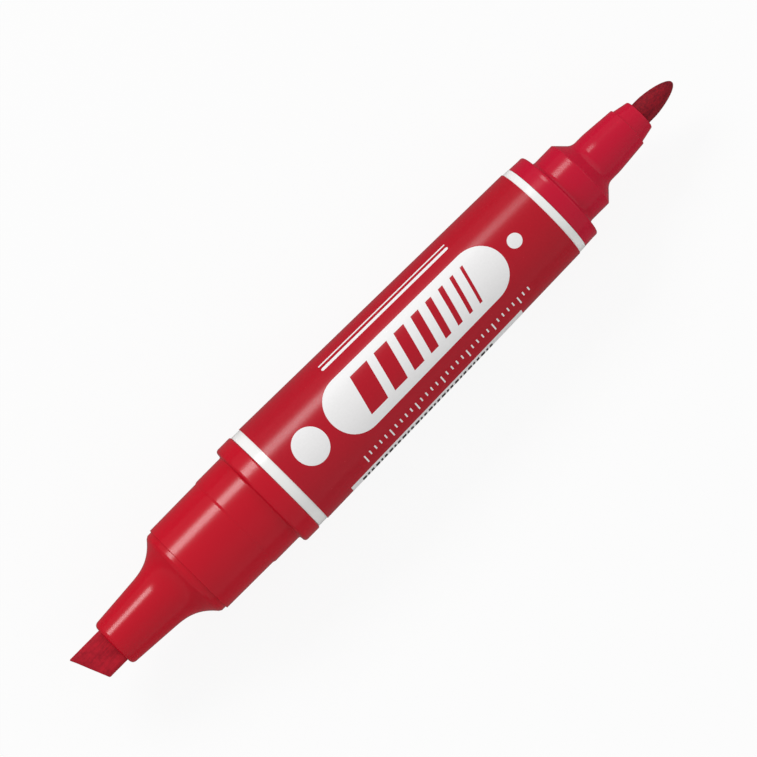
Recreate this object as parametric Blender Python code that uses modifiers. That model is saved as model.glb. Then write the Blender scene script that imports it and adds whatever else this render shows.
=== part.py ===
"""Double-ended marker pen without its caps, lying on its side.

Every piece is modelled about the pen's axis, whose heights run from the broad end
to the fine end and start at the barrel's broad end face. An empty then lays the pen
along world +X with its collar on the ground. Metres, +Z up.
"""

import math

import bmesh
import bpy

MM = 0.001
STEPS = 48  # facets round every turned piece, the same for all so that fits stay parallel
EDGE_POINTS = 4  # points of a wide rounded edge
SMALL_EDGE_POINTS = 3  # points of a narrow one
CORNER_SEGMENTS = 3  # along each rounded corner of a bar
SOFT_EDGE_ANGLE = math.radians(50)  # edges of a nib that turn more than this are softened
MERGE_DISTANCE = 0.001 * MM  # where the end of a turn meets its start

# Barrel, a tapered tube
BARREL_LENGTH = 52.91 * MM
BARREL_RADIUS = 8.50 * MM  # at the broad end
BARREL_TAPER = 1.045 * MM  # loss of radius from the broad end to the fine end
BARREL_WALL = 1.05 * MM

# Ribs inside the barrel that centre the reservoir
RIB_COUNT = 6
RIB_HEIGHT = 0.65 * MM  # above the narrow end of the bore
RIB_THICKNESS = 0.8 * MM
RIB_SETBACK = 1.0 * MM  # from the plugs at both ends

# Label, a film wrapped once round the barrel between two bare bands
BROAD_BAND = 1.59 * MM
FINE_BAND = 1.20 * MM
LABEL_THICKNESS = 0.07 * MM
LABEL_GAP = 0.04 * MM
LABEL_SEAM = 0.8 * MM  # bare strip where the film's edges meet, underneath

# Plugs of both holders, pushed into the barrel until a bead snaps into its groove
PLUG_LENGTH = 6.0 * MM
PLUG_CHAMFER = 0.4 * MM
PLUG_CLEARANCE = 0.05 * MM
SEAT_GAP = 0.05 * MM  # between a collar and the barrel's end face
BEAD_HEIGHT = 0.15 * MM
BEAD_WIDTH = 0.9 * MM
BEAD_DEPTH = 3.0 * MM  # from the barrel's end face

# Broad holder, from its collar out to its mouth
BROAD_COLLAR_LENGTH = 2.83 * MM
BROAD_COLLAR_PROUD = 0.185 * MM  # above the barrel's end
BROAD_COLLAR_FRONT_EDGE = 0.7 * MM
BROAD_COLLAR_BACK_EDGE = 0.25 * MM
BROAD_SHOULDER = 1.035 * MM  # step from the collar down to the rear land
REAR_LAND_LENGTH = 4.7 * MM
RING_RAMP_LENGTH = 0.4 * MM
RING_RAMP_DROP = 0.13 * MM
FRONT_LAND_LENGTH = 8.8 * MM
FRONT_LAND_DRAFT = 0.07 * MM
LEDGE_STEP = 0.25 * MM
LEDGE_STEP_LENGTH = 0.1 * MM
LEDGE_LENGTH = 0.65 * MM
LEDGE_EDGE = 0.25 * MM
LEDGE_EDGE_LENGTH = 0.4 * MM
FLARE_LENGTH = 6.0 * MM
FLARE_POINTS = 6
BROAD_NOZZLE_LENGTH = 7.4 * MM
BROAD_NOZZLE_TAPER = 0.53 * MM
BROAD_MOUTH_WALL = 0.54 * MM  # outside the nib's corners
BROAD_MOUTH_EDGE = 0.5 * MM
RESERVOIR_STOP_SETBACK = 3.5 * MM  # from the front end of the front land
RESERVOIR_STOP_WIDTH = 0.9 * MM

# Fine holder, from its collar out to its mouth
FINE_COLLAR_LENGTH = 2.51 * MM
FINE_COLLAR_INSET = 0.035 * MM  # below the barrel's end
FINE_COLLAR_DRAFT = 0.08 * MM
FINE_COLLAR_EDGE = 0.28 * MM
FINE_SHOULDER = 1.80 * MM  # step from the collar down to the land
FINE_SHOULDER_FILLET = 0.5 * MM
FINE_LAND_LENGTH = 3.95 * MM
FINE_CHAMFER_LENGTH = 1.95 * MM
FINE_CHAMFER_FILLET = 0.8 * MM
FINE_NOZZLE_LENGTH = 7.3 * MM
FINE_NOZZLE_ROOT = 2.2 * MM  # straight stretch before the nozzle tapers
FINE_NOZZLE_TAPER = 0.42 * MM
FRONT_STEP = 0.27 * MM
FRONT_LENGTH = 2.45 * MM
FRONT_TAPER = 0.515 * MM
FINE_MOUTH_WALL = 0.61 * MM
FINE_MOUTH_EDGE = 0.28 * MM
FINE_WALL = 1.1 * MM
FINE_GRIP_LENGTH = 9.5 * MM  # bore that holds the nib, from the mouth

# Nibs, pushed through their holders into the ends of the reservoir
NIB_CLEARANCE = 0.05 * MM
NIB_SOCKET_DEPTH = 5.0 * MM
NIB_SOCKET_END_GAP = 0.3 * MM
BROAD_NIB_WIDTH = 5.6 * MM
BROAD_NIB_THICKNESS = 3.8 * MM
BROAD_NIB_CORNER = 0.7 * MM
BROAD_NIB_EDGE = 0.12 * MM
BROAD_NIB_SHORT_REACH = 3.44 * MM  # from the mouth to the near corner of the writing edge
BROAD_NIB_SLANT = 2.25 * MM  # how much further the far corner reaches
SLOT_CORNER = 0.4 * MM  # tighter than the nib's, which leaves the air passages
FINE_NIB_RADIUS = 1.725 * MM
FINE_NIB_REACH = 6.33 * MM
FINE_NIB_TIP_LENGTH = 5.0 * MM
FINE_NIB_TIP_POINTS = 8
FINE_NIB_FULLNESS = 1.45  # how full the pointed end is
FINE_NIB_TAIL_EDGE = 0.25 * MM

# Reservoir and its sheath
RIB_CLEARANCE = 0.15 * MM
WRAP_THICKNESS = 0.12 * MM
WRAP_GAP = 0.03 * MM
WRAP_SETBACK = 0.3 * MM  # from both ends of the reservoir
RESERVOIR_END_GAP = 0.3 * MM
HOLDER_CLEARANCE = 0.3 * MM  # round the sheath inside the broad holder

# Heights along the axis
BROAD_SEAT = -SEAT_GAP
BROAD_SHOULDER_AT = BROAD_SEAT - BROAD_COLLAR_LENGTH
REAR_LAND_END = BROAD_SHOULDER_AT - REAR_LAND_LENGTH
RING_RAMP_END = REAR_LAND_END - RING_RAMP_LENGTH
FRONT_LAND_END = RING_RAMP_END - FRONT_LAND_LENGTH
LEDGE_START = FRONT_LAND_END - LEDGE_STEP_LENGTH
LEDGE_END = LEDGE_START - LEDGE_LENGTH
FLARE_TOP = LEDGE_END - LEDGE_EDGE_LENGTH
FLARE_FOOT = FLARE_TOP - FLARE_LENGTH
BROAD_MOUTH = FLARE_FOOT - BROAD_NOZZLE_LENGTH
BROAD_STOP = FRONT_LAND_END + RESERVOIR_STOP_SETBACK
FINE_SEAT = BARREL_LENGTH + SEAT_GAP
FINE_SHOULDER_AT = FINE_SEAT + FINE_COLLAR_LENGTH
FINE_LAND_END = FINE_SHOULDER_AT + FINE_LAND_LENGTH
FINE_CHAMFER_END = FINE_LAND_END + FINE_CHAMFER_LENGTH
FRONT_STEP_AT = FINE_CHAMFER_END + FINE_NOZZLE_LENGTH
FINE_MOUTH = FRONT_STEP_AT + FRONT_LENGTH
FINE_PLUG_END = BARREL_LENGTH - PLUG_LENGTH
RESERVOIR_BOTTOM = BROAD_STOP + RESERVOIR_END_GAP
RESERVOIR_TOP = FINE_PLUG_END - RESERVOIR_END_GAP
BROAD_NIB_TIP = BROAD_MOUTH - BROAD_NIB_SHORT_REACH - BROAD_NIB_SLANT
BROAD_NIB_TAIL = RESERVOIR_BOTTOM + NIB_SOCKET_DEPTH
FINE_NIB_TIP = FINE_MOUTH + FINE_NIB_REACH
FINE_NIB_TAIL = RESERVOIR_TOP - NIB_SOCKET_DEPTH

# Radii that follow from the barrel and from the nibs
BROAD_COLLAR_RADIUS = BARREL_RADIUS + BROAD_COLLAR_PROUD
REAR_LAND_RADIUS = BROAD_COLLAR_RADIUS - BROAD_SHOULDER
FRONT_LAND_RADIUS = REAR_LAND_RADIUS - RING_RAMP_DROP
LEDGE_RADIUS = FRONT_LAND_RADIUS - FRONT_LAND_DRAFT - LEDGE_STEP
FLARE_TOP_RADIUS = LEDGE_RADIUS - LEDGE_EDGE
NIB_CORNER_REACH = BROAD_NIB_CORNER + math.hypot(
    BROAD_NIB_WIDTH / 2 - BROAD_NIB_CORNER, BROAD_NIB_THICKNESS / 2 - BROAD_NIB_CORNER
)
BROAD_MOUTH_RADIUS = NIB_CORNER_REACH + NIB_CLEARANCE + BROAD_MOUTH_WALL
FLARE_FOOT_RADIUS = BROAD_MOUTH_RADIUS + BROAD_NOZZLE_TAPER
FINE_COLLAR_BACK_RADIUS = BARREL_RADIUS - BARREL_TAPER - FINE_COLLAR_INSET
FINE_COLLAR_RADIUS = FINE_COLLAR_BACK_RADIUS - FINE_COLLAR_DRAFT
FINE_LAND_RADIUS = FINE_COLLAR_RADIUS - FINE_SHOULDER
FINE_BORE_RADIUS = FINE_NIB_RADIUS + NIB_CLEARANCE
FINE_MOUTH_RADIUS = FINE_BORE_RADIUS + FINE_MOUTH_WALL
FRONT_ROOT_RADIUS = FINE_MOUTH_RADIUS + FRONT_TAPER
FINE_NOZZLE_TIP_RADIUS = FRONT_ROOT_RADIUS + FRONT_STEP
FINE_NOZZLE_ROOT_RADIUS = FINE_NOZZLE_TIP_RADIUS + FINE_NOZZLE_TAPER
FINE_CAVITY_RADIUS = FINE_LAND_RADIUS - FINE_WALL
RIB_INNER_RADIUS = BARREL_RADIUS - BARREL_TAPER - BARREL_WALL - RIB_HEIGHT
WRAP_RADIUS = RIB_INNER_RADIUS - RIB_CLEARANCE
RESERVOIR_RADIUS = WRAP_RADIUS - WRAP_THICKNESS - WRAP_GAP
BROAD_CAVITY_RADIUS = WRAP_RADIUS + HOLDER_CLEARANCE
BROAD_STOP_RADIUS = BROAD_CAVITY_RADIUS - RESERVOIR_STOP_WIDTH
BROAD_FLOOR_RADIUS = NIB_CORNER_REACH + NIB_CLEARANCE + HOLDER_CLEARANCE

CUTTER_REACH = 1.0 * MM  # how far a cutter runs past the face it opens


def barrel_radius(height):
    """Outside of the barrel at a height."""
    return BARREL_RADIUS - BARREL_TAPER * height / BARREL_LENGTH


def bore_radius(height):
    """Inside of the barrel at a height."""
    return barrel_radius(height) - BARREL_WALL


def plug_radius(height):
    """Outside of a holder's plug at a height."""
    return bore_radius(height) - PLUG_CLEARANCE


def bead(radius_at, height):
    """Three points, running up the axis, of a snap bead on the surface that radius_at gives."""
    half = BEAD_WIDTH / 2
    return [
        (radius_at(height - half), height - half),
        (radius_at(height) + BEAD_HEIGHT, height),
        (radius_at(height + half), height + half),
    ]


def arc(centre, size, start, end, count=EDGE_POINTS):
    """Points of a round edge about its centre, between two angles in degrees; 90 points up the axis."""
    points = []
    for i in range(count):
        angle = math.radians(start + (end - start) * i / (count - 1))
        points.append((centre[0] + size * math.cos(angle), centre[1] + size * math.sin(angle)))
    return points


def linear(value):
    """One sRGB channel from 0 to 255 as a linear value."""
    value /= 255
    return value / 12.92 if value <= 0.04045 else ((value + 0.055) / 1.055) ** 2.4


def material(name, rgb, roughness):
    """A plain Principled material in an sRGB colour."""
    made = bpy.data.materials.new(name)
    made.use_nodes = True
    shader = made.node_tree.nodes["Principled BSDF"]
    shader.inputs["Base Color"].default_value = (*(linear(value) for value in rgb), 1.0)
    shader.inputs["Roughness"].default_value = roughness
    shader.inputs["Metallic"].default_value = 0.0
    return made


def place(name, mesh, datum, collection, parent):
    """Adds a mesh to the pen as an object whose origin lies on the axis at the datum height."""
    made = bpy.data.objects.new(name, mesh)
    made.location.z = datum
    made.parent = parent
    collection.objects.link(made)
    return made


def screw(piece, angle):
    """Turns a piece's profile about the axis."""
    turn = piece.modifiers.new("turn", "SCREW")
    turn.axis = "Z"
    turn.angle = angle
    turn.steps = STEPS
    turn.render_steps = STEPS
    turn.use_merge_vertices = True
    turn.merge_threshold = MERGE_DISTANCE
    turn.use_smooth_shade = True


def turned(name, outline, datum, pen):
    """A turned piece from points of radius and height that run down its outside."""
    points = [(radius, 0.0, height - datum) for radius, height in outline]
    edges = [(i, i + 1) for i in range(len(points) - 1)]
    on_axis = outline[0][0] == 0.0
    if not on_axis:
        edges.append((len(points) - 1, 0))
    mesh = bpy.data.meshes.new(name)
    mesh.from_pydata(points, edges, [])
    piece = place(name, mesh, datum, pen["parts"], pen["axis"])
    piece.rotation_euler.z = math.pi / STEPS  # lays the pen on a facet and not on an edge
    screw(piece, 2 * math.pi)
    return piece


def rounded_bar(name, width, thickness, corner, bottom, top):
    """Mesh of a bar along the axis whose long edges are rounded."""
    shape = bmesh.new()
    bmesh.ops.create_cube(shape, size=1.0)
    for vertex in shape.verts:
        vertex.co.x *= thickness
        vertex.co.y *= width
        vertex.co.z = top if vertex.co.z > 0 else bottom
    long_edges = [edge for edge in shape.edges if abs(edge.verts[0].co.z - edge.verts[1].co.z) > 0]
    bmesh.ops.bevel(
        shape,
        geom=long_edges,
        offset=corner,
        segments=CORNER_SEGMENTS,
        profile=0.5,
        affect="EDGES",
        clamp_overlap=True,
    )
    mesh = bpy.data.meshes.new(name)
    shape.to_mesh(mesh)
    shape.free()
    return mesh


def nib_cutter(name, bottom, top, pen):
    """Cutter for the opening that takes the broad nib."""
    mesh = rounded_bar(
        name,
        BROAD_NIB_WIDTH + 2 * NIB_CLEARANCE,
        BROAD_NIB_THICKNESS + 2 * NIB_CLEARANCE,
        SLOT_CORNER,
        0.0,
        top - bottom,
    )
    made = place(name, mesh, bottom, pen["cutters"], pen["axis"])
    made.hide_render = True
    made.display_type = "WIRE"
    return made


def boolean(piece, operation, other):
    """Cuts or joins another object into a piece."""
    step = piece.modifiers.new(other.name, "BOOLEAN")
    step.operation = operation
    step.solver = "EXACT"
    step.object = other


def make_barrel(pen):
    """Tapered tube with a groove for each holder's bead and ribs for the reservoir."""
    outline = [
        (barrel_radius(BARREL_LENGTH), BARREL_LENGTH),
        (barrel_radius(0.0), 0.0),
        (bore_radius(0.0), 0.0),
    ]
    outline += bead(bore_radius, BEAD_DEPTH)
    outline += bead(bore_radius, BARREL_LENGTH - BEAD_DEPTH)
    outline += [(bore_radius(BARREL_LENGTH), BARREL_LENGTH)]
    barrel = turned("barrel", outline, 0.0, pen)
    boolean(barrel, "UNION", make_ribs(pen))
    return barrel


def make_ribs(pen):
    """Flat ribs round the bore, each reaching into the middle of the wall."""
    low = PLUG_LENGTH + RIB_SETBACK
    high = FINE_PLUG_END - RIB_SETBACK
    points = []
    faces = []
    for i in range(RIB_COUNT):
        angle = 2 * math.pi * i / RIB_COUNT
        for height in (low, high):
            for radius in (RIB_INNER_RADIUS, barrel_radius(height) - BARREL_WALL / 2):
                points.append((radius * math.cos(angle), radius * math.sin(angle), height))
        faces.append([4 * i + corner for corner in (0, 1, 3, 2)])
    mesh = bpy.data.meshes.new("ribs")
    mesh.from_pydata(points, [], faces)
    ribs = place("ribs", mesh, 0.0, pen["cutters"], pen["axis"])
    wall = ribs.modifiers.new("thickness", "SOLIDIFY")
    wall.thickness = RIB_THICKNESS
    wall.offset = 0.0
    ribs.hide_render = True
    ribs.display_type = "WIRE"
    return ribs


def make_label(pen):
    """Film round the barrel between the bands, open by a narrow seam underneath."""
    low = BROAD_BAND
    high = BARREL_LENGTH - FINE_BAND
    points = [(barrel_radius(height) + LABEL_GAP, 0.0, height - low) for height in (high, low)]
    mesh = bpy.data.meshes.new("label")
    mesh.from_pydata(points, [(0, 1)], [])
    label = place("label", mesh, low, pen["parts"], pen["axis"])
    seam = LABEL_SEAM / barrel_radius(low)
    label.rotation_euler.z = seam / 2
    screw(label, 2 * math.pi - seam)
    film = label.modifiers.new("film", "SOLIDIFY")
    film.thickness = LABEL_THICKNESS
    film.offset = 1.0
    film.use_even_offset = True
    return label


def make_broad_holder(pen):
    """Mouthpiece of the broad end, with a plug, a collar, two cap lands, a flare and a slotted nozzle."""
    plug_edge = PLUG_LENGTH - PLUG_CHAMFER
    outline = [
        (0.0, FLARE_TOP),
        (BROAD_FLOOR_RADIUS, FLARE_TOP),
        (BROAD_STOP_RADIUS, BROAD_STOP),
        (BROAD_CAVITY_RADIUS, BROAD_STOP),
        (BROAD_CAVITY_RADIUS, PLUG_LENGTH),
        (plug_radius(PLUG_LENGTH) - PLUG_CHAMFER, PLUG_LENGTH),
        (plug_radius(plug_edge), plug_edge),
    ]
    outline += reversed(bead(plug_radius, BEAD_DEPTH))
    outline += [(plug_radius(BROAD_SEAT), BROAD_SEAT)]
    back = BROAD_COLLAR_BACK_EDGE
    outline += arc((BROAD_COLLAR_RADIUS - back, BROAD_SEAT - back), back, 90, 0, SMALL_EDGE_POINTS)
    front = BROAD_COLLAR_FRONT_EDGE
    outline += arc((BROAD_COLLAR_RADIUS - front, BROAD_SHOULDER_AT + front), front, 0, -90)
    outline += [
        (REAR_LAND_RADIUS, BROAD_SHOULDER_AT),
        (REAR_LAND_RADIUS, REAR_LAND_END),
        (FRONT_LAND_RADIUS, RING_RAMP_END),
        (FRONT_LAND_RADIUS - FRONT_LAND_DRAFT, FRONT_LAND_END),
        (LEDGE_RADIUS, LEDGE_START),
        (LEDGE_RADIUS, LEDGE_END),
    ]
    outline += flare()
    edge = BROAD_MOUTH_EDGE
    outline += arc((BROAD_MOUTH_RADIUS - edge, BROAD_MOUTH + edge), edge, 0, -90)
    outline += [(0.0, BROAD_MOUTH)]
    holder = turned("broad_holder", outline, BROAD_SEAT, pen)
    slot = nib_cutter("nib_slot", BROAD_MOUTH - CUTTER_REACH, FLARE_TOP + CUTTER_REACH, pen)
    boolean(holder, "DIFFERENCE", slot)
    return holder


def flare():
    """Points down the flare, which leaves the nozzle's taper as the cube of the distance."""
    taper = BROAD_NOZZLE_TAPER / BROAD_NOZZLE_LENGTH * FLARE_LENGTH
    rise = FLARE_TOP_RADIUS - FLARE_FOOT_RADIUS - taper
    points = []
    for i in range(FLARE_POINTS, -1, -1):
        share = i / FLARE_POINTS
        radius = FLARE_FOOT_RADIUS + taper * share + rise * share**3
        points.append((radius, FLARE_FOOT + FLARE_LENGTH * share))
    return points


def make_fine_holder(pen):
    """Mouthpiece of the fine end, with a plug, a collar, a cap land, a chamfer and a stepped nozzle."""
    edge = FINE_MOUTH_EDGE
    outline = [(FINE_BORE_RADIUS, FINE_MOUTH)]
    outline += arc((FINE_MOUTH_RADIUS - edge, FINE_MOUTH - edge), edge, 90, 0)
    outline += [
        (FRONT_ROOT_RADIUS, FRONT_STEP_AT),
        (FINE_NOZZLE_TIP_RADIUS, FRONT_STEP_AT),
        (FINE_NOZZLE_ROOT_RADIUS, FINE_CHAMFER_END + FINE_NOZZLE_ROOT),
        (FINE_NOZZLE_ROOT_RADIUS, FINE_CHAMFER_END + FINE_CHAMFER_FILLET),
    ]
    share = FINE_CHAMFER_FILLET / FINE_CHAMFER_LENGTH
    fillet_rise = (FINE_LAND_RADIUS - FINE_NOZZLE_ROOT_RADIUS) * share
    outline += [
        (FINE_NOZZLE_ROOT_RADIUS + fillet_rise / 4, FINE_CHAMFER_END),  # middle of a parabola
        (FINE_NOZZLE_ROOT_RADIUS + fillet_rise, FINE_CHAMFER_END - FINE_CHAMFER_FILLET),
        (FINE_LAND_RADIUS, FINE_LAND_END),
    ]
    fillet = FINE_SHOULDER_FILLET
    centre = (FINE_LAND_RADIUS + fillet, FINE_SHOULDER_AT + fillet)
    outline += arc(centre, fillet, 180, 270, SMALL_EDGE_POINTS)
    edge = FINE_COLLAR_EDGE
    outline += arc((FINE_COLLAR_RADIUS - edge, FINE_SHOULDER_AT - edge), edge, 90, 0, SMALL_EDGE_POINTS)
    outline += [
        (FINE_COLLAR_BACK_RADIUS, FINE_SEAT),
        (plug_radius(FINE_SEAT), FINE_SEAT),
    ]
    outline += reversed(bead(plug_radius, BARREL_LENGTH - BEAD_DEPTH))
    plug_edge = FINE_PLUG_END + PLUG_CHAMFER
    outline += [
        (plug_radius(plug_edge), plug_edge),
        (plug_radius(FINE_PLUG_END) - PLUG_CHAMFER, FINE_PLUG_END),
        (FINE_CAVITY_RADIUS, FINE_PLUG_END),
        (FINE_CAVITY_RADIUS, FINE_LAND_END - FINE_WALL),
        (FINE_BORE_RADIUS, FINE_MOUTH - FINE_GRIP_LENGTH),
    ]
    return turned("fine_holder", outline, FINE_SEAT, pen)


def make_broad_nib(pen):
    """Chisel nib, a fibre bar with a slanted writing edge."""
    length = BROAD_NIB_TAIL - BROAD_NIB_TIP
    mesh = rounded_bar("broad_nib", BROAD_NIB_WIDTH, BROAD_NIB_THICKNESS, BROAD_NIB_CORNER, 0.0, length)
    for vertex in mesh.vertices:
        if vertex.co.z < length / 2:
            vertex.co.z = BROAD_NIB_SLANT * (0.5 - vertex.co.y / BROAD_NIB_WIDTH)
    nib = place("broad_nib", mesh, BROAD_NIB_TIP, pen["parts"], pen["axis"])
    mesh.shade_smooth()
    soft = nib.modifiers.new("soft_edges", "BEVEL")
    soft.width = BROAD_NIB_EDGE
    soft.limit_method = "ANGLE"
    soft.angle_limit = SOFT_EDGE_ANGLE
    return nib


def make_fine_nib(pen):
    """Bullet nib, a fibre rod with a pointed, rounded tip."""
    outline = []
    for i in range(FINE_NIB_TIP_POINTS + 1):
        share = 1 - (i / FINE_NIB_TIP_POINTS) ** 2
        radius = FINE_NIB_RADIUS * math.sqrt(1 - share**FINE_NIB_FULLNESS)
        outline.append((radius, FINE_NIB_TIP - FINE_NIB_TIP_LENGTH * (1 - share)))
    outline += [
        (FINE_NIB_RADIUS, FINE_NIB_TAIL + FINE_NIB_TAIL_EDGE),
        (FINE_NIB_RADIUS - FINE_NIB_TAIL_EDGE, FINE_NIB_TAIL),
        (0.0, FINE_NIB_TAIL),
    ]
    return turned("fine_nib", outline, FINE_MOUTH, pen)


def make_ink_reservoir(pen):
    """Fibre rod with a socket in each end for a nib."""
    socket_end = FINE_NIB_TAIL - NIB_SOCKET_END_GAP
    outline = [
        (0.0, socket_end),
        (FINE_BORE_RADIUS, socket_end),
        (FINE_BORE_RADIUS, RESERVOIR_TOP),
        (RESERVOIR_RADIUS, RESERVOIR_TOP),
        (RESERVOIR_RADIUS, RESERVOIR_BOTTOM),
        (0.0, RESERVOIR_BOTTOM),
    ]
    reservoir = turned("ink_reservoir", outline, RESERVOIR_BOTTOM, pen)
    socket = nib_cutter(
        "broad_socket", RESERVOIR_BOTTOM - CUTTER_REACH, BROAD_NIB_TAIL + NIB_SOCKET_END_GAP, pen
    )
    boolean(reservoir, "DIFFERENCE", socket)
    return reservoir


def make_reservoir_wrap(pen):
    """Film sheath round the reservoir."""
    inner = RESERVOIR_RADIUS + WRAP_GAP
    low = RESERVOIR_BOTTOM + WRAP_SETBACK
    high = RESERVOIR_TOP - WRAP_SETBACK
    outline = [(WRAP_RADIUS, high), (WRAP_RADIUS, low), (inner, low), (inner, high)]
    return turned("reservoir_wrap", outline, low, pen)


def main():
    """Clears the scene, then builds the pen's pieces about its axis."""
    for old in list(bpy.data.objects):
        bpy.data.objects.remove(old)
    parts = bpy.data.collections.new("double_ended_marker")
    cutters = bpy.data.collections.new("cutters")
    for collection in (parts, cutters):
        bpy.context.scene.collection.children.link(collection)
    axis = bpy.data.objects.new("pen_axis", None)
    axis.location.x = -(BROAD_NIB_TIP + FINE_NIB_TIP) / 2
    axis.location.z = BROAD_COLLAR_RADIUS * math.cos(math.pi / STEPS)
    axis.rotation_euler.y = math.pi / 2
    parts.objects.link(axis)
    pen = {"parts": parts, "cutters": cutters, "axis": axis}

    red_plastic = material("red_polypropylene", (192, 24, 46), 0.35)
    white_plastic = material("white_polypropylene", (240, 240, 238), 0.4)
    printed_film = material("printed_red_film", (188, 22, 44), 0.3)
    broad_felt = material("inked_broad_felt", (160, 30, 46), 0.85)
    fine_felt = material("inked_fine_felt", (118, 28, 42), 0.8)
    ink_fibre = material("inked_fibre", (140, 16, 34), 0.9)
    clear_film = material("sheath_film", (214, 206, 206), 0.25)
    for make, finish in (
        (make_barrel, white_plastic),
        (make_label, printed_film),
        (make_broad_holder, red_plastic),
        (make_fine_holder, red_plastic),
        (make_broad_nib, broad_felt),
        (make_fine_nib, fine_felt),
        (make_ink_reservoir, ink_fibre),
        (make_reservoir_wrap, clear_film),
    ):
        make(pen).data.materials.append(finish)


main()
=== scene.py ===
"""Dresses a double-ended marker pen: turned mouthpieces, printed barrel, fibre nibs and a studio."""

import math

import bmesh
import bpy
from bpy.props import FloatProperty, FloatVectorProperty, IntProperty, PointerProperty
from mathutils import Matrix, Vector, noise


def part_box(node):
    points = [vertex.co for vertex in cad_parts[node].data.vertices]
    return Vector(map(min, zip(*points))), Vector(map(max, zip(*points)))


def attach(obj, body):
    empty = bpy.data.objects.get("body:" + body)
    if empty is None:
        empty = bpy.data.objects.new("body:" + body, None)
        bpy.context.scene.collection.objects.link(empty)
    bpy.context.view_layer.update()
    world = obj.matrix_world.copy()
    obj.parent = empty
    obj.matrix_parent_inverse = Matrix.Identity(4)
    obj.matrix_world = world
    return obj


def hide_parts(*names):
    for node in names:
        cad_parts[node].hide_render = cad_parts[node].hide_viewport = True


bl_info = {
    "name": "Double-Ended Marker",
    "version": (1, 0, 0),
    "blender": (4, 5, 0),
    "location": "3D View > Sidebar > Marker",
    "description": "Builds the visible pieces of an uncapped double-ended marker on its packed frame",
    "category": "Object",
}

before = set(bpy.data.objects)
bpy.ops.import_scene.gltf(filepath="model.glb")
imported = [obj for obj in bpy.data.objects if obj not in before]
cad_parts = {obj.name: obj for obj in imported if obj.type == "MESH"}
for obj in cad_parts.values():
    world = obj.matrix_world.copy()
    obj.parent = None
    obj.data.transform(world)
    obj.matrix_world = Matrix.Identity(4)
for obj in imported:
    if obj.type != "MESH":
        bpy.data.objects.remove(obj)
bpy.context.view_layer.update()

MM = 0.001
WHITE = (1.0, 1.0, 1.0, 1.0)
CAD_FLATS = 48  # flats round each turned solid of the frame, which lies on one of them

# How finely the pieces are drawn
ROUND = 160  # facets round a turned piece
ARC_POINTS = 6  # segments in a rounded edge
CORNER_POINTS = 12  # segments in a rounded corner of a print
DISC_POINTS = 48  # segments round a printed dot
FLARE_POINTS = 24  # segments down the flare
TIP_POINTS = 30  # segments down the fine nib's pointed end
ROUNDED_SHARE = 0.49  # most of a straight stretch that one rounding takes up
GUARD = 0.03 * MM  # rings this close to the ends of a straight stretch keep its shading straight
GUARDED_LENGTH = 8 * GUARD  # longer stretches get them
SHARP_EDGE = math.radians(32)  # an edge that turns more than this isn't shaded smooth
TURNED_WELD = 0.0005 * MM  # points of a turned piece that are closer become one
PRINT_WELD = 0.001 * MM  # the same for the film and the prints
PRINT_FACET = 0.3 * MM  # width of the flats that bend them round the barrel
FELT_SLICE = 0.4 * MM  # slices that let the broad nib's faces go uneven
FUZZ_BLOT = 0.35 * MM  # size of that unevenness

# Small edges that the moulds and the nib cutter leave
PLUG_EDGE = 0.4 * MM
RING_EDGE = 0.25 * MM
LEDGE_STEP_EDGE = 0.03 * MM
LEDGE_END_EDGE = 0.3 * MM
BORE_EDGE = 0.1 * MM
FRONT_STEP_FOOT = 0.12 * MM
FRONT_STEP_EDGE = 0.1 * MM
FINE_COLLAR_BACK_EDGE = 0.08 * MM
FINE_TAIL_EDGE = 0.25 * MM
SLOT_OVERRUN = 1.0 * MM  # how far the slot's cutter runs past both of its ends

# Fibres as drawn: thickness and depth
BROAD_FIBRE = (0.16 * MM, 0.05 * MM)
FINE_FIBRE = (0.1 * MM, 0.03 * MM)
CORE_FIBRE = (0.2 * MM, 0.05 * MM)


def linear(code):
    """An sRGB hex colour as linear red, green and blue."""
    channels = []
    for i in (1, 3, 5):
        value = int(code[i:i + 2], 16) / 255
        channels.append(value / 12.92 if value <= 0.04045 else ((value + 0.055) / 1.055) ** 2.4)
    return tuple(channels)


def turned_radius(node):
    """Largest radius of a turned solid of the frame, out to the corners of its flats."""
    low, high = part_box(node)
    return (high.y - low.y) / 2 / math.cos(math.pi / CAD_FLATS)


def span(node):
    """Heights where a solid of the frame starts and ends, from the barrel's broad end face."""
    low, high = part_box(node)
    return low.x - START, high.x - START


# Places on the pen, read from the frame
BARREL_LOW, BARREL_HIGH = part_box("barrel")
START = BARREL_LOW.x
AXIS_HEIGHT = (BARREL_LOW.z + BARREL_HIGH.z) / 2
BARREL_LENGTH = BARREL_HIGH.x - BARREL_LOW.x
BARREL_RADIUS = turned_radius("barrel")
LABEL_START, LABEL_END = span("label")
COLLAR_RADIUS = turned_radius("broad_holder")
BROAD_MOUTH, BROAD_PLUG_END = span("broad_holder")
FINE_COLLAR_RADIUS = turned_radius("fine_holder")
FINE_PLUG_END, FINE_MOUTH = span("fine_holder")
BROAD_TIP, BROAD_TAIL = span("broad_nib")
BROAD_NIB_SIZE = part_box("broad_nib")[1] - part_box("broad_nib")[0]
FINE_TAIL, FINE_TIP = span("fine_nib")
FINE_NIB_RADIUS = turned_radius("fine_nib")


def number(name, description, default, **kind):
    """A number that a user can change, with its limits and its unit or subtype."""
    return FloatProperty(name=name, description=description, default=default, **kind)


def mm(name, description, millimetres):
    """A length that a user can change, written in millimetres."""
    return number(name, description, millimetres * MM, precision=5, unit="LENGTH")


def tilt(name, description, degrees):
    """An angle that a user can change, written in degrees."""
    return number(name, description, math.radians(degrees), subtype="ANGLE")


def proportion(name, description, share):
    """A share, from none to all, that a user can change."""
    return number(name, description, share, min=0.0, max=1.0, subtype="FACTOR")


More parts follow.
